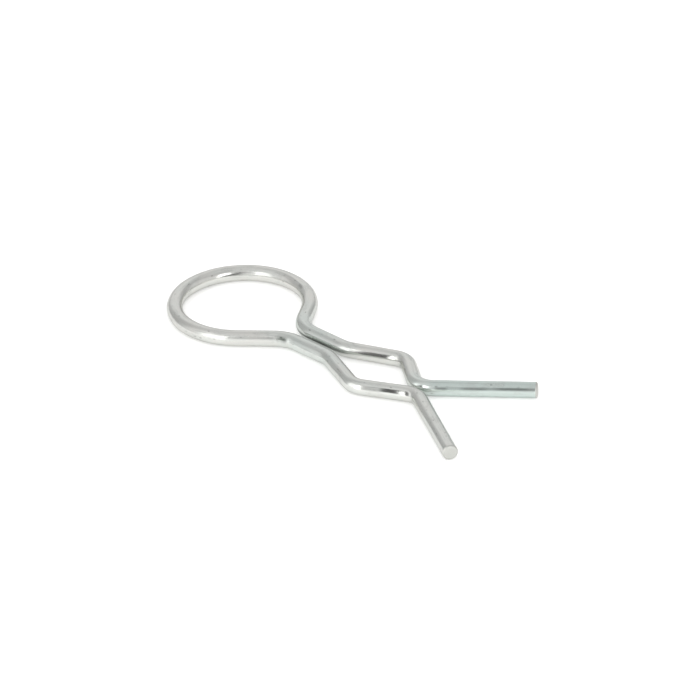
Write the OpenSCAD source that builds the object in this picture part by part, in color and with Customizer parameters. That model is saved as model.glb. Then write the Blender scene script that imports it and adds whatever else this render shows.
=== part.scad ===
// Spring clip for a hitch pin: one length of round wire, bent flat into a pull ring, a narrow neck,
// a four-sided pin seat, a pinch and two flared tails. The clip lies on z = 0 and points along +X,
// with the middle of its pin seat over the origin.

/* [Wire] */
// Diameter of the round spring wire
wire_d = 3; // [2:0.1:4]
// How much thinner the wire gets where it is bent
bend_thinning = 0.02; // [0.01:0.01:0.1]
// Bevel on the rim of each cut end
cut_bevel = 0.25; // [0.1:0.05:0.6]

/* [Pull ring] */
// Clear diameter inside the ring
ring_clear_d = 21.8; // [16:0.1:30]
// How far the ring leans towards the left leg, as bent
ring_lean = 1.1; // [-1.2:0.1:1.2]
// Straight length of a shoulder, from the ring to the neck, with the ring centred
shoulder_len = 5.3; // [5:0.1:12]

/* [Neck] */
// Clear gap between the legs along the neck
neck_gap = 1.4; // [0.4:0.1:3]
// Straight length of the neck between its bends
neck_len = 7.5; // [3:0.1:16]
// Inside radius of the bends from the shoulders into the neck
neck_in_bend = 5; // [3:0.1:6]
// Inside radius of the bends from the neck into the seat
neck_out_bend = 3.2; // [1.5:0.1:6]

/* [Pin seat] */
// Clear width of the seat across its side corners
seat_clear_w = 9.6; // [7:0.1:14]
// Distance along the clip from the neck's end to the side corners
seat_lead = 11.6; // [9:0.1:18]
// Distance along the clip from the side corners to the pinch
seat_run = 10; // [9:0.1:16]
// Inside radius of the side corners
seat_bend = 2.2; // [1:0.1:3]

/* [Pinch] */
// Clear gap between the crests of the legs at the pinch
pinch_gap = 0.4; // [0.2:0.1:2]
// Inside radius of the pinch bends
pinch_bend = 2.5; // [1:0.1:3.2]
// How much further along the right leg has its pinch bend, as bent
pinch_stagger = 2.1; // [0:0.1:2.4]

/* [Tails] */
// Mean angle of the tails from the clip's axis
tail_flare = 34.6; // [15:0.1:50]
// How much more than the mean the left tail is bent out, and how much less the right one
flare_skew = 5.3; // [-10:0.1:10]
// Straight length of the left tail
left_tail_len = 19.1; // [8:0.1:30]
// Straight length of the right tail
right_tail_len = 20.6; // [8:0.1:30]

/* [Hidden] */
$fn = 72;

LEFT = 1;
RIGHT = -1;
OUTWARD = 1;
INWARD = -1;

wire_r = wire_d / 2;
bent_wire_d = wire_d - bend_thinning;

// How far a bend reaches into the full-thickness straight run at each of its ends
bend_lap = 0.1;

// Centreline radius of each bend
ring_r = ring_clear_d / 2 + wire_r;
neck_in_r = neck_in_bend + wire_r;
neck_out_r = neck_out_bend + wire_r;
seat_r = seat_bend + wire_r;
pinch_r = pinch_bend + wire_r;

// Distance of a leg's centreline from the clip's axis
neck_y = neck_gap / 2 + wire_r;
seat_y = seat_clear_w / 2 + wire_r;
pinch_y = pinch_gap / 2 + wire_r;

// Places along the clip, with the seat's side corners at 0
neck_out_x = -seat_lead;
neck_in_x = neck_out_x - neck_len;
ring_span = norm([ring_r + neck_in_r, shoulder_len]);
ring_x = neck_in_x - sqrt(pow(ring_span, 2) - pow(neck_y + neck_in_r, 2));

// A leg is wire drawn round pegs, each [centre, centreline radius, turn]. The right leg is drawn
// on the left leg's side and then mirrored, so OUTWARD always bends a leg away from the axis.
function pegs(side) = [
    [[ring_x, side * ring_lean], ring_r, INWARD],
    [[neck_in_x, neck_y + neck_in_r], neck_in_r, OUTWARD],
    [[neck_out_x, neck_y + neck_out_r], neck_out_r, OUTWARD],
    [[0, seat_y - seat_r], seat_r, INWARD],
    [[seat_run - side * pinch_stagger / 2, pinch_y + pinch_r], pinch_r, OUTWARD]
];

// Heading of the straight run that leaves one peg and meets the next, tangent to both
function run_heading(a, b) =
    let (step = b[0] - a[0])
    atan2(step.y, step.x) - asin((b[2] * b[1] - a[2] * a[1]) / norm(step));

// Headings of a leg's straight runs in order, the tail last
function headings(side) =
    let (peg = pegs(side))
    [for (i = [1 : len(peg) - 1]) run_heading(peg[i - 1], peg[i]), tail_flare + side * flare_skew];

// Point of a peg's bend at which the wire has a heading
function touch(peg, heading) = peg[0] + peg[2] * peg[1] * [sin(heading), -cos(heading)];

// Angle, seen from the ring's centre, at which a leg leaves the ring
function ring_exit(side) = headings(side)[0] + 90;

// Arc of wire round a centre, from one angle through a sweep, with its laps at both ends
module bend(centre, r, from, sweep) {
    lap = atan(bend_lap / r);
    translate([centre.x, centre.y, wire_r])
        rotate([0, 0, from - lap])
            rotate_extrude(angle = sweep + 2 * lap)
                translate([r, 0])
                    circle(d = bent_wire_d);
}

// Wire that goes straight from a point along a heading
module place_run(start, heading) {
    translate([start.x, start.y, wire_r])
        rotate([0, 90, heading])
            children();
}

// Straight end of the wire, cut square with a bevelled rim
module tail(length) {
    rotate_extrude()
        polygon([
            [0, 0],
            [wire_r, 0],
            [wire_r, length - cut_bevel],
            [wire_r - cut_bevel, length],
            [0, length]
        ]);
}

// One leg from the ring to its cut end
module leg(side, tail_len) {
    peg = pegs(side);
    heading = headings(side);
    last = len(peg) - 1;
    for (i = [1 : last]) {
        start = touch(peg[i - 1], heading[i - 1]);
        place_run(start, heading[i - 1])
            cylinder(h = norm(touch(peg[i], heading[i - 1]) - start), d = wire_d);
        from = min(heading[i - 1], heading[i]) - 90 * peg[i][2];
        bend(peg[i][0], peg[i][1], from, abs(heading[i] - heading[i - 1]));
    }
    place_run(touch(peg[last], heading[last]), heading[last])
        tail(tail_len);
}

// The whole clip: the ring joins the two legs at the back
module spring_clip() {
    color("silver") {
        bend([ring_x, ring_lean], ring_r, ring_exit(LEFT), 360 - ring_exit(LEFT) - ring_exit(RIGHT));
        leg(LEFT, left_tail_len);
        mirror([0, 1, 0])
            leg(RIGHT, right_tail_len);
    }
}

spring_clip();
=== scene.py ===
# Spring clip for a hitch pin: one length of bright zinc-plated wire, bent flat round pegs, lying on a
# white table under soft studio light.
import math

import bpy
import numpy as np
from mathutils import Matrix, Vector


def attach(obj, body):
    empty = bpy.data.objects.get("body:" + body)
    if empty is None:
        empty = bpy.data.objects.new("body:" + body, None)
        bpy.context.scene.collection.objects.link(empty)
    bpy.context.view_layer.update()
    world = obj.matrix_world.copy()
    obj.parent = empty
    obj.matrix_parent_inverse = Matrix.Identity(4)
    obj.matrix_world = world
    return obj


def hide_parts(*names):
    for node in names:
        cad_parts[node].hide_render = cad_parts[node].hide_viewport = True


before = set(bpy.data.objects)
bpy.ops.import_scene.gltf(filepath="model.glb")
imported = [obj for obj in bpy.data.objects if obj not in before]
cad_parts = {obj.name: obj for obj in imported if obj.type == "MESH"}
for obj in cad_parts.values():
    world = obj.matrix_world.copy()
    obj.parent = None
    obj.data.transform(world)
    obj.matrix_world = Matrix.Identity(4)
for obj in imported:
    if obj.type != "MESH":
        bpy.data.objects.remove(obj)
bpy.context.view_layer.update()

MM = 0.001
LEFT = 1
RIGHT = -1
NONE = 0.0
FULL = 1.0
BLACK = (0.0, 0.0, 0.0)
WHITE = (1.0, 1.0, 1.0)

# Sizes of the bent wire in millimetres and radians, the same values as the part's source
WIRE_D = 3.0
RING_CLEAR_D = 21.8
RING_LEAN = 1.1
SHOULDER_LEN = 5.3
NECK_GAP = 1.4
NECK_LEN = 7.5
NECK_IN_BEND = 5.0
NECK_OUT_BEND = 3.2
SEAT_CLEAR_W = 9.6
SEAT_LEAD = 11.6
SEAT_RUN = 10.0
SEAT_BEND = 2.2
PINCH_GAP = 0.4
PINCH_BEND = 2.5
PINCH_STAGGER = 2.1
TAIL_FLARE = math.radians(34.6)
FLARE_SKEW = math.radians(5.3)
TAIL_LEN = {LEFT: 19.1, RIGHT: 20.6}
WIRE_R = WIRE_D / 2
RING_R = RING_CLEAR_D / 2 + WIRE_R

# What only the wire's skin has, in millimetres: the rounding of the cuts, the softness of each bend's
# start and end, the depth of the waver and of the flattening in a bend, and an inset from the solid
CUT_ROUND = 0.43
BEND_EASE = 0.45
WAVER_DEPTH = 0.010
FLAT_DEPTH = 0.020
INSET = 0.004

# Waver of the drawn wire: its turn and its drift in radians per millimetre, and the drift's swing
WAVER_TURN = 0.83
WAVER_DRIFT = 0.31
WAVER_SWING = 2.0

# Mesh of the wire: points round it, rings across a cut face and again round its rim, the share of the
# rim's rounding that is finished as the face, and the steps along the wire in millimetres
SIDES = 56
CUT_RINGS = 9
FACE_SHARE = 0.8
STATION_STEP = 0.2
PATH_STEP = 0.01
BELL_REACH = 4

# Dark marks on the skin, partly small marks of the bending pegs and partly painted light: the dark streak
# along the
# far tail is a painted reflection, and the dark lines between the legs in the neck are painted shade.
# Columns:
# distance along the wire in millimetres, angle round it in degrees, half length, half angle and depth
MARKS_AND_PAINTED_SHADE = (
    (130.7, 151, 1.35, 19, 1.00),
    (136.8, -29, 5.60, 14, 1.10),
    (49.9, -3, 6.60, 9, 1.10),
    (69.2, 57, 0.80, 12, 0.35),
    (17.6, 24, 1.10, 9, 0.55),
    (11.4, 27, 2.40, 9, 0.55),
    (4.0, 29, 4.00, 10, 0.62),
)

# Thickness of the blue-green passivation, by distance along the wire in millimetres
PASSIVATION = (
    (0, 17, 25, 40, 48, 56, 64, 125, 134, 142, 150),
    (1, 1, 0.1, 0, 0.4, 0.4, 0, 0, 0.35, 0.35, 0.1),
)

# Patterns of the plating: stretch along the unbent wire and across it, scale, detail and roughness
PATTERNS = {
    "Lines": ((0.045, 1.0, 1.0), 3.2, 5.0, 0.62),
    "Bloom": ((0.30, 0.75, 0.75), 0.9, 4.0, 0.55),
    "Grain": ((1.0, 1.0, 1.0), 14.0, 3.0, 0.60),
    "Smudge": ((0.5, 1.0, 1.0), 0.55, 3.0, 0.60),
}
NICK_STRETCH = (0.55, 1.0, 1.0)
NICK_SCALE = 0.85
NICK_EDGE = (0.05, 0.17)

# Colours of the plating, where each pattern starts and ends, and how strongly it shows
CLEAR_ZINC = (0.772, 0.766, 0.735)
COOL_ZINC = (0.668, 0.752, 0.722)
DULL_ZINC = (0.53, 0.54, 0.52)
STREAKED_ZINC = (0.47, 0.49, 0.48)
# near-black of the nicks, also used for the painted shade and painted reflection of the marks
NICKED_AND_PAINTED_SHADE_ZINC = (0.09, 0.10, 0.09)
CLOUD_EDGE = (0.34, 0.66)
CLOUD_COOLING = 0.18
SMUDGE_EDGE = (0.50, 0.68)
SMUDGE_DULLING = 0.30
STREAK_EDGE = (0.30, 0.46)
STREAK_STRENGTH = 0.40
NICK_STRENGTH = 0.35
ZINC_ROUGHNESS = 0.13
GRAIN_ROUGHNESS = 0.12
DULL_ROUGHNESS = 0.25
LINE_HEIGHT = 0.5
NICK_HEIGHT = -0.3
ZINC_BUMP = 0.4
ZINC_RELIEF = 0.05 * MM
ZINC_EDGE_TINT = (0.8, 0.8, 0.8)

# Cut face of the wire
TORN_DARK = (0.54, 0.55, 0.52)
TORN_LIGHT = (0.72, 0.72, 0.69)
TORN_ROUGHNESS = 0.35
TORN_GRAIN_ROUGHNESS = 0.25
TORN_BUMP = 0.6
TORN_RELIEF = 0.06 * MM

# Table: paint, rings of points in metres, and its glow where the camera sees it and the metal mirrors it
TABLE_PAINT = (0.80, 0.80, 0.79)
TABLE_ROUGHNESS = 0.45
TABLE_GLOSS = 0.3
TABLE_RADII = np.array([0.2, 1.0, 4.0])
TABLE_SIDES = 48
TABLE_GLOW = 0.40
TABLE_GLOW_IN_METAL = 0.24

# Camera: its direction and roll, the picture's scale, and the pixel that the seat's middle falls on
VIEW_AZIMUTH = math.radians(46.492)
VIEW_ELEVATION = math.radians(28.974)
VIEW_ROLL = math.radians(2.183)
PX_PER_MM = 5.4908
ORIGIN_PX = (378.55, 372.70)
IMAGE_PX = 700
LENS = 1000.0
SENSOR = 36.0

# Softboxes: left and right edge (right, away) in millimetres, low and high end, brightness
SOFTBOXES = (
    ("softbox_left", (-509, -318), (-318, -509), 0, 620, 1.4),
    ("softbox_right", (212, -615), (452, -468), 0, 600, 1.4),
)

# Lamp above the table, in metres
OVERHEAD_SIZE = 1.2
OVERHEAD_HEIGHT = 0.9
OVERHEAD_BRIGHTNESS = 0.5

# Cards: four corners (right, away, up) in millimetres, tone, and the soft share of the edges
CARD_POINTS = 25
CARDS = (
    ("card_left", ((-79, -50, 0), (-82, -4, 0), (-82, -4, 82), (-79, -50, 82)), 1.35, 0.10),
    ("card_front", ((-5, -160, 24), (-26, -160, 24), (-26, -160, 215), (-5, -160, 215)), 0.44, 0.25),
    ("flag_seat", ((0.3, 2.8, 2.0), (-21.5, -8.3, 3.9), (-24.0, -9.6, 30.9), (0.3, 2.8, 6.0)), 0.06, 0.14),
    ("flag_near_seat",
     ((0.1, -13.9, 2.2), (-3.45, -12.6, 2.2), (-4.45, -11.6, 11.7), (-0.9, -12.9, 11.7)), 0.05, 0.20),
    ("card_near_seat",
     ((-3.45, -12.6, 1.5), (-7.2, -11.2, 1.5), (-8.2, -10.2, 11.7), (-4.45, -11.6, 11.7)), 0.60, 0.20),
)

# Surround: its brightness low down and overhead and the elevations between, then its panels as azimuth,
# half width, low and high elevation and softness in degrees, and brightness
SURROUND_LOW = 0.52
SURROUND_HIGH = 0.70
SURROUND_RISE = (math.radians(30), math.radians(78))
PANELS = (
    (178, 33, 5, 50, 11, 0.83),
    (66, 42, -20, 40, 9, 0.74),
    (-70, 29, -20, 85, 12, 0.80),
    (-5, 30, -20, 60, 8, 0.72),
    (4, 17, 22, 46, 4, 0.52),
    (-16, 8, 45, 66, 5, 0.88),
    (-8, 32, -20, 16, 6, 1.05),
)


def placed(name, data):
    """New object in the scene, at the origin, from its data."""
    thing = bpy.data.objects.new(name, data)
    bpy.context.scene.collection.objects.link(thing)
    return thing


# Wire path

def pegs(side):
    """Centres and signed centreline radii of the five pegs that a leg is drawn round, ring first. A
    positive radius bends the leg away from the clip's axis. Both legs are given on the left side."""
    neck_in_r = NECK_IN_BEND + WIRE_R
    neck_out_r = NECK_OUT_BEND + WIRE_R
    seat_r = SEAT_BEND + WIRE_R
    pinch_r = PINCH_BEND + WIRE_R
    neck_y = NECK_GAP / 2 + WIRE_R
    neck_in_x = -SEAT_LEAD - NECK_LEN
    span_sq = (RING_R + neck_in_r) ** 2 + SHOULDER_LEN ** 2
    ring_x = neck_in_x - math.sqrt(span_sq - (neck_y + neck_in_r) ** 2)
    centres = np.array([
        (ring_x, side * RING_LEAN),
        (neck_in_x, neck_y + neck_in_r),
        (-SEAT_LEAD, neck_y + neck_out_r),
        (0.0, SEAT_CLEAR_W / 2 + WIRE_R - seat_r),
        (SEAT_RUN - side * PINCH_STAGGER / 2, PINCH_GAP / 2 + WIRE_R + pinch_r),
    ])
    return centres, np.array([-RING_R, neck_in_r, neck_out_r, -seat_r, pinch_r])


def tail_heading(side):
    """Angle of a tail from the clip's axis."""
    return TAIL_FLARE + side * FLARE_SKEW


def leg_runs(side):
    """Lengths and curvatures of a leg's runs, from the ring to its cut end, and its first heading. The
    straight run between two pegs is tangent to both, so with signed radii its heading is the angle
    between the centres less asin(change of radius / distance), and its length is the third side of
    that right triangle. A bend's length is its radius times the change of heading."""
    centres, radii = pegs(side)
    step = np.diff(centres, axis=0)
    apart = np.hypot(step[:, 0], step[:, 1])
    heading = np.arctan2(step[:, 1], step[:, 0]) - np.arcsin(np.diff(radii) / apart)
    heading = np.append(heading, tail_heading(side))
    straight = np.sqrt(apart ** 2 - np.diff(radii) ** 2)
    bend = radii[1:] * np.diff(heading)
    lengths = np.append(np.stack([straight, bend], axis=1).ravel(), TAIL_LEN[side])
    curvatures = np.append(np.stack([0 * straight, 1 / radii[1:]], axis=1).ravel(), 0.0)
    return lengths, curvatures, heading[0]


def cut_end(side):
    """Point at which a leg's wire is cut: from the last peg's tangent point straight along the tail."""
    centres, radii = pegs(side)
    along = tail_heading(side)
    touch = centres[-1] + radii[-1] * np.array([math.sin(along), -math.cos(along)])
    return touch + TAIL_LEN[side] * np.array([math.cos(along), math.sin(along)])


def wire_path():
    """Whole wire from the left cut end round the ring to the right one, as arrays over arc length:
    distance, point, heading and curvature. The heading is the running sum of curvature times length,
    and the points are the running sum of unit steps along it. They are then averaged under a bell
    curve along the wire, which leaves straights as they are and lets each bend start and end softly."""
    left_len, left_curve, left_exit = leg_runs(LEFT)
    right_len, right_curve, right_exit = leg_runs(RIGHT)
    ring_len = RING_R * (math.pi - left_exit - right_exit)
    lengths = np.concatenate([left_len[::-1], [ring_len], right_len])
    curvatures = np.concatenate([-left_curve[::-1], [1 / RING_R], -right_curve])
    joints = np.concatenate([[0.0], np.cumsum(lengths)])
    turned = np.concatenate([[0.0], np.cumsum(lengths * curvatures)])
    along = np.linspace(0.0, joints[-1], int(round(joints[-1] / PATH_STEP)) + 1)
    step = along[1]
    heading = np.interp(along, joints, turned) + tail_heading(LEFT) + math.pi
    middle = (heading[1:] + heading[:-1]) / 2
    steps = step * np.stack([np.cos(middle), np.sin(middle)])
    sharp = cut_end(LEFT)[:, None] + np.pad(np.cumsum(steps, axis=1), ((0, 0), (1, 0)))
    reach = int(BELL_REACH * BEND_EASE / step)
    bell = np.exp(-0.5 * (np.arange(-reach, reach + 1) * step / BEND_EASE) ** 2)
    bell /= bell.sum()
    x, y = (np.convolve(np.pad(line, reach, mode="reflect", reflect_type="odd"), bell, mode="valid")
            for line in sharp)
    heading = np.unwrap(np.arctan2(np.gradient(y), np.gradient(x)))
    return along, np.stack([x, y], axis=1), heading, np.gradient(heading, step)


# Wire surface

def wire_stations(total):
    """Arc length and radius of each ring of the wire's skin. Between the ends the rings are evenly
    spaced at full radius. At an end they follow the cut: across the face from its middle, then
    round a quarter of a circle that stays inside the bevel."""
    face = np.linspace(0.0, 1.0, CUT_RINGS + 1)[1:] * (WIRE_R - CUT_ROUND)
    turn = np.linspace(0.0, math.pi / 2, CUT_RINGS + 1)[1:]
    cap_s = np.concatenate([0 * face, CUT_ROUND * (1 - np.cos(turn))])
    cap_r = np.concatenate([face, WIRE_R - CUT_ROUND + CUT_ROUND * np.sin(turn)])
    count = int((total - 2 * CUT_ROUND) / STATION_STEP)
    body_s = np.linspace(CUT_ROUND, total - CUT_ROUND, count + 1)[1:-1]
    stations = np.concatenate([cap_s, body_s, total - cap_s[::-1]])
    radii = np.concatenate([cap_r, 0 * body_s + WIRE_R, cap_r[::-1]])
    return stations, radii


def wire_marks_and_painted_shade(stations, angle):
    """Depth of the marks and of the painted shade and painted reflection over the skin: the sum of
    flat-topped bells along the wire, exp of minus the fourth power of distance over half length, times plain
    bells round it."""
    depth = np.zeros((len(stations), len(angle)))
    for place, turn, half_len, half_turn, strength in MARKS_AND_PAINTED_SHADE:
        off = (angle - math.radians(turn) + math.pi) % (2 * math.pi) - math.pi
        lengthwise = np.exp(-((stations - place) / half_len) ** 4)
        depth += strength * lengthwise[:, None] * np.exp(-(off / math.radians(half_turn)) ** 2)
    return depth


def wire_skin():
    """Round profile carried along the wire's path: a point is the path's point, plus the ring's
    radius times cos(angle) across the wire in the clip's plane and sin(angle) upwards. The radius is
    eased by a slow waver of the drawn wire, half of 1 - sin(turn + drift + angle), and by the slight
    flattening of each bend, the wire's bend times the cube of cos(angle)."""
    along, path, path_heading, path_curve = wire_path()
    stations, radii = wire_stations(along[-1])
    x = np.interp(stations, along, path[:, 0])
    y = np.interp(stations, along, path[:, 1])
    heading = np.interp(stations, along, path_heading)
    bent = np.abs(np.interp(stations, along, path_curve)) * WIRE_R
    angle = np.arange(SIDES) * 2 * math.pi / SIDES
    drift = WAVER_SWING * np.sin(stations * WAVER_DRIFT)
    waver = 0.5 - 0.5 * np.sin((stations * WAVER_TURN + drift)[:, None] + angle)
    flat = bent[:, None] * np.abs(np.cos(angle)) ** 3
    radius = (radii[:, None] / WIRE_R) * (WIRE_R - INSET - WAVER_DEPTH * waver - FLAT_DEPTH * flat)
    across = radius * np.cos(angle)
    up = radius * np.sin(angle)
    points = np.stack([
        x[:, None] - np.sin(heading)[:, None] * across,
        y[:, None] + np.cos(heading)[:, None] * across,
        WIRE_R + up,
    ], axis=2)
    unbent = np.stack([np.broadcast_to(stations[:, None], across.shape), across, up], axis=2)
    poles = np.array([[x[0], y[0], WIRE_R], [x[-1], y[-1], WIRE_R]])
    unbent_poles = np.array([[0.0, 0.0, 0.0], [along[-1], 0.0, 0.0]])
    return {
        "points": np.concatenate([points.reshape(-1, 3), poles]) * MM,
        "unbent": np.concatenate([unbent.reshape(-1, 3), unbent_poles]),
        "passivation": np.interp(np.append(np.repeat(stations, SIDES), [0.0, along[-1]]), *PASSIVATION),
        # layer of the peg marks, the painted shade between the legs and the painted reflection along the far
        # tail
        "marks_and_painted_shade": np.append(wire_marks_and_painted_shade(stations, angle).ravel(), [0.0, 0.0]),
        "rings": len(stations),
        "face_rings": int(np.sum(stations < FACE_SHARE * CUT_ROUND)),
    }


def make_wire(name, skin, materials):
    """Mesh object from the skin's grid: four-sided faces between neighbouring rings, and a fan of
    triangles from each end ring to the middle of its cut face."""
    rings = skin["rings"]
    ring, side = np.meshgrid(np.arange(rings - 1), np.arange(SIDES), indexing="ij")
    here = ring * SIDES + side
    beside = ring * SIDES + (side + 1) % SIDES
    quads = np.stack([here, here + SIDES, beside + SIDES, beside], axis=2).reshape(-1, 4)
    rim = np.arange(SIDES)
    next_rim = (rim + 1) % SIDES
    last = (rings - 1) * SIDES
    first_pole = np.full(SIDES, rings * SIDES)
    fans = np.concatenate([
        np.stack([first_pole, rim, next_rim], axis=1),
        np.stack([first_pole + 1, last + next_rim, last + rim], axis=1),
    ])
    mesh = bpy.data.meshes.new(name)
    mesh.from_pydata(skin["points"].tolist(), [], quads.tolist() + fans.tolist())
    on_face = (ring < skin["face_rings"]) | (ring >= rings - 1 - skin["face_rings"])
    index = np.concatenate([on_face.ravel(), np.ones(len(fans), bool)]).astype(np.int32)
    mesh.polygons.foreach_set("material_index", index)
    mesh.polygons.foreach_set("use_smooth", np.ones(len(index), bool))
    unbent = mesh.attributes.new("unbent", "FLOAT_VECTOR", "POINT")
    unbent.data.foreach_set("vector", skin["unbent"].ravel())
    # the second layer carries the peg marks together with painted shade and painted reflection
    for layer_name in ("passivation", "marks_and_painted_shade"):
        kept = mesh.attributes.new(layer_name, "FLOAT", "POINT")
        kept.data.foreach_set("value", skin[layer_name])
    for material in materials:
        mesh.materials.append(material)
    mesh.update()
    return placed(name, mesh)


# Nodes of the finishes

def new_material(name):
    """Material with one shader, joined to its output; returns it with its node tree and the shader."""
    material = bpy.data.materials.new(name)
    material.use_nodes = True
    tree = material.node_tree
    tree.nodes.clear()
    tree.nodes.new("ShaderNodeOutputMaterial").name = "output"
    shader = tree.nodes.new("ShaderNodeBsdfPrincipled")
    show(tree, shader.outputs["BSDF"])
    return material, tree, shader


def show(tree, surface):
    """Joins a surface to the output of its material."""
    tree.links.new(surface, tree.nodes["output"].inputs["Surface"])


def feed(tree, socket, value):
    """Joins an output to a socket, or sets a colour or a number on it."""
    if isinstance(value, bpy.types.NodeSocket):
        tree.links.new(value, socket)
    elif isinstance(value, tuple):
        socket.default_value = (*value, 1.0)
    else:
        socket.default_value = value


def noise(tree, vector, scale, detail, roughness):
    """Noise texture on a vector; returns its value."""
    node = tree.nodes.new("ShaderNodeTexNoise")
    node.inputs["Scale"].default_value = scale
    node.inputs["Detail"].default_value = detail
    node.inputs["Roughness"].default_value = roughness
    tree.links.new(vector, node.inputs["Vector"])
    return node.outputs["Fac"]


def stretched(tree, vector, scale):
    """Vector scaled along each axis."""
    node = tree.nodes.new("ShaderNodeMapping")
    node.inputs["Scale"].default_value = scale
    tree.links.new(vector, node.inputs["Vector"])
    return node.outputs["Vector"]


def ranged(tree, value, low, high, to_low=NONE, to_high=FULL):
    """Value carried smoothly from one range to another and held at its ends."""
    node = tree.nodes.new("ShaderNodeMapRange")
    node.interpolation_type = "SMOOTHSTEP"
    for name, number in (("From Min", low), ("From Max", high), ("To Min", to_low), ("To Max", to_high)):
        feed(tree, node.inputs[name], number)
    tree.links.new(value, node.inputs["Value"])
    return node.outputs["Result"]


def calc(tree, operation, *values):
    """Maths of one, two or three values, each an output or a number."""
    node = tree.nodes.new("ShaderNodeMath")
    node.operation = operation
    for socket, value in zip(node.inputs, values):
        feed(tree, socket, value)
    return node.outputs["Value"]


def blended(tree, factor, first, second):
    """Colour mixed from two, each an output or a colour, by a factor."""
    node = tree.nodes.new("ShaderNodeMix")
    node.data_type = "RGBA"
    tree.links.new(factor, node.inputs["Factor"])
    for name, colour in (("A", first), ("B", second)):
        sockets = [socket for socket in node.inputs if socket.name == name and socket.type == "RGBA"]
        feed(tree, sockets[0], colour)
    return [socket for socket in node.outputs if socket.type == "RGBA"][0]


def bumped(tree, shader, height, strength, relief):
    """Raises a shader's surface by a height, in parts of the relief."""
    bump = tree.nodes.new("ShaderNodeBump")
    bump.inputs["Strength"].default_value = strength
    bump.inputs["Distance"].default_value = relief
    tree.links.new(height, bump.inputs["Height"])
    tree.links.new(bump.outputs["Normal"], shader.inputs["Normal"])


def layer(tree, name):
    """Node that reads a layer kept on the mesh's points."""
    node = tree.nodes.new("ShaderNodeAttribute")
    node.attribute_name = name
    return node


# Finishes

def plating_group():
    """Surface of electroplated drawn wire, worked out on the wire as it was before bending: lines left
    by the drawing die, a cloudy bloom of the plating, its grain, dull smudges, and small nicks from
    the barrel."""
    group = bpy.data.node_groups.new("zinc_plating", "ShaderNodeTree")
    group.interface.new_socket("Unbent", in_out="INPUT", socket_type="NodeSocketVector")
    for name in (*PATTERNS, "Nicks"):
        group.interface.new_socket(name, in_out="OUTPUT", socket_type="NodeSocketFloat")
    unbent = group.nodes.new("NodeGroupInput").outputs["Unbent"]
    output = group.nodes.new("NodeGroupOutput")
    for name, (stretch, scale, detail, roughness) in PATTERNS.items():
        pattern = noise(group, stretched(group, unbent, stretch), scale, detail, roughness)
        group.links.new(pattern, output.inputs[name])
    dents = group.nodes.new("ShaderNodeTexVoronoi")
    dents.inputs["Scale"].default_value = NICK_SCALE
    group.links.new(stretched(group, unbent, NICK_STRETCH), dents.inputs["Vector"])
    nicks = ranged(group, dents.outputs["Distance"], *NICK_EDGE, FULL, NONE)
    group.links.new(nicks, output.inputs["Nicks"])
    return group


def plating(tree, group):
    """Places the plating group, fed with the wire's unbent position; returns its outputs."""
    node = tree.nodes.new("ShaderNodeGroup")
    node.node_tree = group
    tree.links.new(layer(tree, "unbent").outputs["Vector"], node.inputs["Unbent"])
    return node.outputs


def bright_zinc(group):
    """Skin of the wire: clear zinc, cool where the passivation is thick, dulled by smudges, streaked by
    the die, dark in its nicks, and darkened by painted shade and painted reflection where the marks lie."""
    material, tree, shader = new_material("bright_zinc")
    surface = plating(tree, group)
    cloud = ranged(tree, surface["Bloom"], *CLOUD_EDGE)
    cool = calc(tree, "MULTIPLY_ADD", cloud, CLOUD_COOLING, layer(tree, "passivation").outputs["Fac"])
    dull = calc(tree, "MULTIPLY", ranged(tree, surface["Smudge"], *SMUDGE_EDGE), SMUDGE_DULLING)
    streak = ranged(tree, surface["Lines"], *STREAK_EDGE, FULL, NONE)
    streak = calc(tree, "MULTIPLY", streak, STREAK_STRENGTH)
    # nicks are real wear; the marks layer adds painted shade in the neck and a painted reflection streak on
    # the far tail
    nicks_and_painted_shade = calc(tree, "MULTIPLY_ADD", surface["Nicks"], NICK_STRENGTH, layer(tree, "marks_and_painted_shade").outputs["Fac"])
    colour = blended(tree, cool, CLEAR_ZINC, COOL_ZINC)
    colour = blended(tree, dull, colour, DULL_ZINC)
    colour = blended(tree, streak, colour, STREAKED_ZINC)
    feed(tree, shader.inputs["Base Color"], blended(tree, nicks_and_painted_shade, colour, NICKED_AND_PAINTED_SHADE_ZINC))
    rough = calc(tree, "MULTIPLY_ADD", surface["Grain"], GRAIN_ROUGHNESS, ZINC_ROUGHNESS)
    feed(tree, shader.inputs["Roughness"], calc(tree, "MULTIPLY_ADD", dull, DULL_ROUGHNESS, rough))
    height = calc(tree, "MULTIPLY_ADD", surface["Lines"], LINE_HEIGHT, surface["Bloom"])
    height = calc(tree, "MULTIPLY_ADD", surface["Nicks"], NICK_HEIGHT, height)
    bumped(tree, shader, height, ZINC_BUMP, ZINC_RELIEF)
    feed(tree, shader.inputs["Metallic"], FULL)
    feed(tree, shader.inputs["Specular Tint"], ZINC_EDGE_TINT)
    return material


def cropped_end(group):
    """Cut face of the wire: plated over like the rest, but matt and torn by the shear."""
    material, tree, shader = new_material("cropped_end")
    surface = plating(tree, group)
    feed(tree, shader.inputs["Base Color"], blended(tree, surface["Grain"], TORN_DARK, TORN_LIGHT))
    rough = calc(tree, "MULTIPLY_ADD", surface["Grain"], TORN_GRAIN_ROUGHNESS, TORN_ROUGHNESS)
    feed(tree, shader.inputs["Roughness"], rough)
    height = calc(tree, "ADD", surface["Grain"], surface["Smudge"])
    bumped(tree, shader, height, TORN_BUMP, TORN_RELIEF)
    feed(tree, shader.inputs["Metallic"], FULL)
    return material


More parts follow.
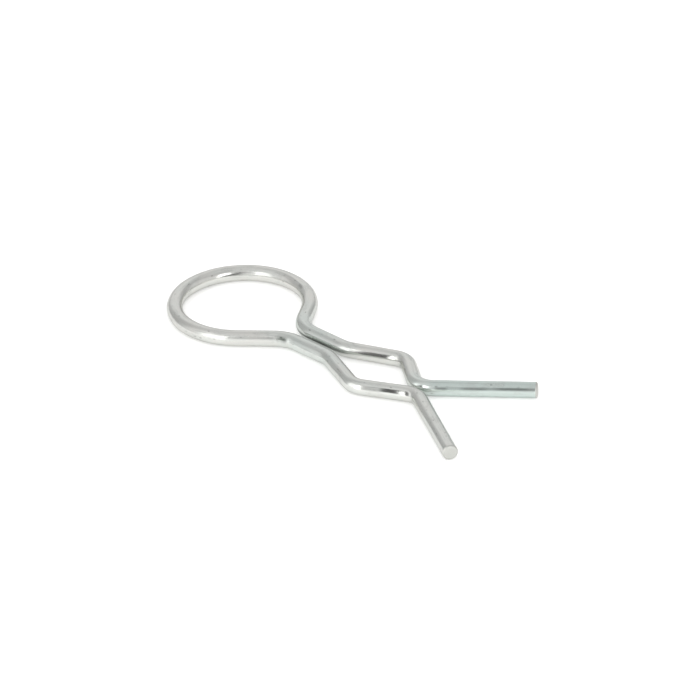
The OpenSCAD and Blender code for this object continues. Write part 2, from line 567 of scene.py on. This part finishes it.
def white_table():
    """White table top: pale satin paint, with a glow added where the camera sees it and where the metal
    mirrors it, so that it reads as white while the paint keeps the object's shadow."""
    material, tree, shader = new_material("white_table")
    feed(tree, shader.inputs["Base Color"], TABLE_PAINT)
    feed(tree, shader.inputs["Roughness"], TABLE_ROUGHNESS)
    feed(tree, shader.inputs["Specular IOR Level"], TABLE_GLOSS)
    path = tree.nodes.new("ShaderNodeLightPath").outputs
    mirrored = calc(tree, "MAXIMUM", path["Is Glossy Ray"], path["Is Transmission Ray"])
    mirrored = calc(tree, "MULTIPLY", mirrored, TABLE_GLOW_IN_METAL)
    seen = calc(tree, "MULTIPLY_ADD", path["Is Camera Ray"], TABLE_GLOW, mirrored)
    glow = tree.nodes.new("ShaderNodeEmission")
    feed(tree, glow.inputs["Strength"], seen)
    both = tree.nodes.new("ShaderNodeAddShader")
    tree.links.new(shader.outputs["BSDF"], both.inputs[0])
    tree.links.new(glow.outputs["Emission"], both.inputs[1])
    show(tree, both.outputs["Shader"])
    return material


# Table, camera and light

def make_table():
    """Flat disc under the clip: rings of points, radius times cosine and sine of the angle, with a fan
    of triangles in the first ring and four-sided faces between the others."""
    side = np.arange(TABLE_SIDES)
    after = (side + 1) % TABLE_SIDES
    angle = side * 2 * math.pi / TABLE_SIDES
    spoke = np.stack([np.cos(angle), np.sin(angle), 0 * angle], axis=1)
    rims = (TABLE_RADII[:, None, None] * spoke).reshape(-1, 3)
    fan = np.stack([np.full(TABLE_SIDES, len(rims)), side, after], axis=1)
    inner = np.arange(len(TABLE_RADII) - 1)[:, None] * TABLE_SIDES
    outer = inner + TABLE_SIDES
    bands = np.stack([inner + side, outer + side, outer + after, inner + after], axis=2).reshape(-1, 4)
    mesh = bpy.data.meshes.new("table")
    mesh.from_pydata(rims.tolist() + [[0.0, 0.0, 0.0]], [], fan.tolist() + bands.tolist())
    mesh.materials.append(white_table())
    mesh.update()
    table = placed("table", mesh)


def make_camera():
    """Long-lens camera that sees the clip nearly without perspective. Its axes are the view direction,
    and right and up turned by the roll; it is moved sideways until the seat's middle, at the wire's
    mid-height, falls on its own pixel."""
    back = Vector((math.sin(VIEW_AZIMUTH) * math.cos(VIEW_ELEVATION),
                   -math.cos(VIEW_AZIMUTH) * math.cos(VIEW_ELEVATION), math.sin(VIEW_ELEVATION)))
    level = Vector((math.cos(VIEW_AZIMUTH), math.sin(VIEW_AZIMUTH), 0.0))
    upright = back.cross(level)
    right = level * math.cos(VIEW_ROLL) - upright * math.sin(VIEW_ROLL)
    up = level * math.sin(VIEW_ROLL) + upright * math.cos(VIEW_ROLL)
    distance = LENS / SENSOR * IMAGE_PX / PX_PER_MM
    place = Vector((0.0, 0.0, WIRE_R)) + back * distance
    place += right * ((IMAGE_PX / 2 - ORIGIN_PX[0]) / PX_PER_MM)
    place += up * ((ORIGIN_PX[1] - IMAGE_PX / 2) / PX_PER_MM)
    data = bpy.data.cameras.new("camera")
    data.lens = LENS
    data.sensor_width = SENSOR
    data.clip_start = 0.1
    data.clip_end = 20.0
    camera = placed("camera", data)
    turn = Matrix((right, up, back)).transposed().to_4x4()
    camera.matrix_world = Matrix.Translation(place * MM) @ turn
    bpy.context.scene.camera = camera


def studio_place(right, away, up):
    """Point of the studio, in millimetres to the camera's right, away from it and up from the table."""
    x = right * math.cos(VIEW_AZIMUTH) - away * math.sin(VIEW_AZIMUTH)
    y = right * math.sin(VIEW_AZIMUTH) + away * math.cos(VIEW_AZIMUTH)
    return Vector((x, y, up)) * MM


def lamp_power(brightness, width, height):
    """Power that gives the face of a rectangular lamp a brightness."""
    return brightness * 4 * width * height


def make_softbox(name, left_edge, right_edge, low, high, brightness):
    """Upright rectangular lamp, facing the clip, between two edges given as (right, away) and two
    heights."""
    ends = [studio_place(*edge, (low + high) / 2) for edge in (left_edge, right_edge)]
    data = bpy.data.lights.new(name, "AREA")
    data.shape = "RECTANGLE"
    data.size = (ends[1] - ends[0]).length
    data.size_y = (high - low) * MM
    data.energy = lamp_power(brightness, data.size, data.size_y)
    lamp = placed(name, data)
    across = (ends[1] - ends[0]).normalized()
    up = Vector((0.0, 0.0, 1.0))
    turn = Matrix((across, up, across.cross(up))).transposed().to_4x4()
    lamp.matrix_world = Matrix.Translation((ends[0] + ends[1]) / 2) @ turn
    lamp.visible_camera = False


def make_overhead():
    """Large level lamp above the table that fills the shadows and isn't mirrored by the metal."""
    data = bpy.data.lights.new("overhead", "AREA")
    data.shape = "SQUARE"
    data.size = OVERHEAD_SIZE
    data.energy = lamp_power(OVERHEAD_BRIGHTNESS, data.size, data.size)
    lamp = placed("overhead", data)
    lamp.location = (0.0, 0.0, OVERHEAD_HEIGHT)
    lamp.visible_camera = False
    lamp.visible_glossy = False


def card_tone(name, tone):
    """Finish of a card: unlit and of one tone from the front, clear from behind and where it fades."""
    material, tree, shader = new_material(name)
    feed(tree, shader.inputs["Base Color"], BLACK)
    feed(tree, shader.inputs["Specular IOR Level"], NONE)
    feed(tree, shader.inputs["Emission Color"], WHITE)
    feed(tree, shader.inputs["Emission Strength"], tone)
    front = calc(tree, "SUBTRACT", FULL, tree.nodes.new("ShaderNodeNewGeometry").outputs["Backfacing"])
    sided = tree.nodes.new("ShaderNodeMixShader")
    feed(tree, sided.inputs["Fac"], calc(tree, "MULTIPLY", front, layer(tree, "shown").outputs["Fac"]))
    tree.links.new(tree.nodes.new("ShaderNodeBsdfTransparent").outputs["BSDF"], sided.inputs[1])
    tree.links.new(shader.outputs["BSDF"], sided.inputs[2])
    show(tree, sided.outputs["Shader"])
    return material


def make_card(name, corners, tone, soft):
    """Card of the studio that only the metal mirrors, from its four corners (right, away, up), in turn.
    A point is the blend of the corners by its shares across and up the card. The card fades out
    smoothly over a soft share of its width at each edge, half of it outside the corners."""
    share = np.linspace(-soft / 2, 1 + soft / 2, CARD_POINTS)
    across, rise = np.meshgrid(share, share, indexing="ij")
    blend = [(1 - across) * (1 - rise), across * (1 - rise), across * rise, (1 - across) * rise]
    points = np.stack(blend, axis=2).reshape(-1, 4) @ np.array([studio_place(*corner) for corner in corners])
    inside = np.clip((np.minimum(share, 1 - share) + soft / 2) / soft, 0.0, 1.0)
    inside = inside * inside * (3 - 2 * inside)
    here = np.arange(CARD_POINTS ** 2).reshape(CARD_POINTS, CARD_POINTS)
    quads = np.stack([here[:-1, :-1], here[1:, :-1], here[1:, 1:], here[:-1, 1:]], axis=2).reshape(-1, 4)
    mesh = bpy.data.meshes.new(name)
    mesh.from_pydata(points.tolist(), [], quads.tolist())
    shown = mesh.attributes.new("shown", "FLOAT", "POINT")
    shown.data.foreach_set("value", np.outer(inside, inside).ravel())
    mesh.materials.append(card_tone(name, tone))
    mesh.update()
    card = placed(name, mesh)
    card.visible_camera = False
    card.visible_diffuse = False
    card.visible_transmission = False
    card.visible_shadow = False


def panel_mask(tree, direction, elevation, azimuth, half_width, low, high, soft):
    """Soft-edged box of the surround, by azimuth from the camera's side to its right and by elevation,
    in degrees: 1 inside it and 0 outside."""
    half_width, low, high, soft = (math.radians(v) for v in (half_width, low, high, soft))
    turned = tree.nodes.new("ShaderNodeVectorRotate")
    turned.rotation_type = "Z_AXIS"
    turned.inputs["Angle"].default_value = -VIEW_AZIMUTH - math.radians(azimuth)
    tree.links.new(direction, turned.inputs["Vector"])
    split = tree.nodes.new("ShaderNodeSeparateXYZ")
    tree.links.new(turned.outputs["Vector"], split.inputs["Vector"])
    front = calc(tree, "MULTIPLY", split.outputs["Y"], -1.0)
    off = calc(tree, "ABSOLUTE", calc(tree, "ARCTAN2", split.outputs["X"], front))
    mask = ranged(tree, off, half_width - soft, half_width + soft, FULL, NONE)
    rise = ranged(tree, elevation, low - soft, low + soft)
    fall = ranged(tree, elevation, high - soft, high + soft, FULL, NONE)
    return calc(tree, "MULTIPLY", calc(tree, "MULTIPLY", mask, rise), fall)


def make_studio():
    """Soft grey surround, worked out by direction: a level that rises towards overhead, with the panels
    laid over it in order."""
    world = bpy.data.worlds.new("studio")
    world.use_nodes = True
    tree = world.node_tree
    tree.nodes.clear()
    output = tree.nodes.new("ShaderNodeOutputWorld")
    background = tree.nodes.new("ShaderNodeBackground")
    tree.links.new(background.outputs["Background"], output.inputs["Surface"])
    direction = tree.nodes.new("ShaderNodeTexCoord").outputs["Generated"]
    split = tree.nodes.new("ShaderNodeSeparateXYZ")
    tree.links.new(direction, split.inputs["Vector"])
    elevation = calc(tree, "ARCSINE", split.outputs["Z"])
    level = ranged(tree, elevation, *SURROUND_RISE, SURROUND_LOW, SURROUND_HIGH)
    for *place, brightness in PANELS:
        mix = tree.nodes.new("ShaderNodeMix")
        tree.links.new(panel_mask(tree, direction, elevation, *place), mix.inputs["Factor"])
        tree.links.new(level, mix.inputs["A"])
        mix.inputs["B"].default_value = brightness
        level = mix.outputs["Result"]
    tree.links.new(level, background.inputs["Strength"])
    feed(tree, background.inputs["Color"], WHITE)
    bpy.context.scene.world = world


make_camera()
make_table()
make_studio()
for softbox in SOFTBOXES:
    make_softbox(*softbox)
make_overhead()
for card in CARDS:
    make_card(*card)

plating_nodes = plating_group()
wire = make_wire("bent_wire", wire_skin(), [bright_zinc(plating_nodes), cropped_end(plating_nodes)])
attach(wire, "root")
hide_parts("spring_clip")

bpy.context.scene.view_settings.view_transform = "Standard"
bpy.context.view_layer.update()
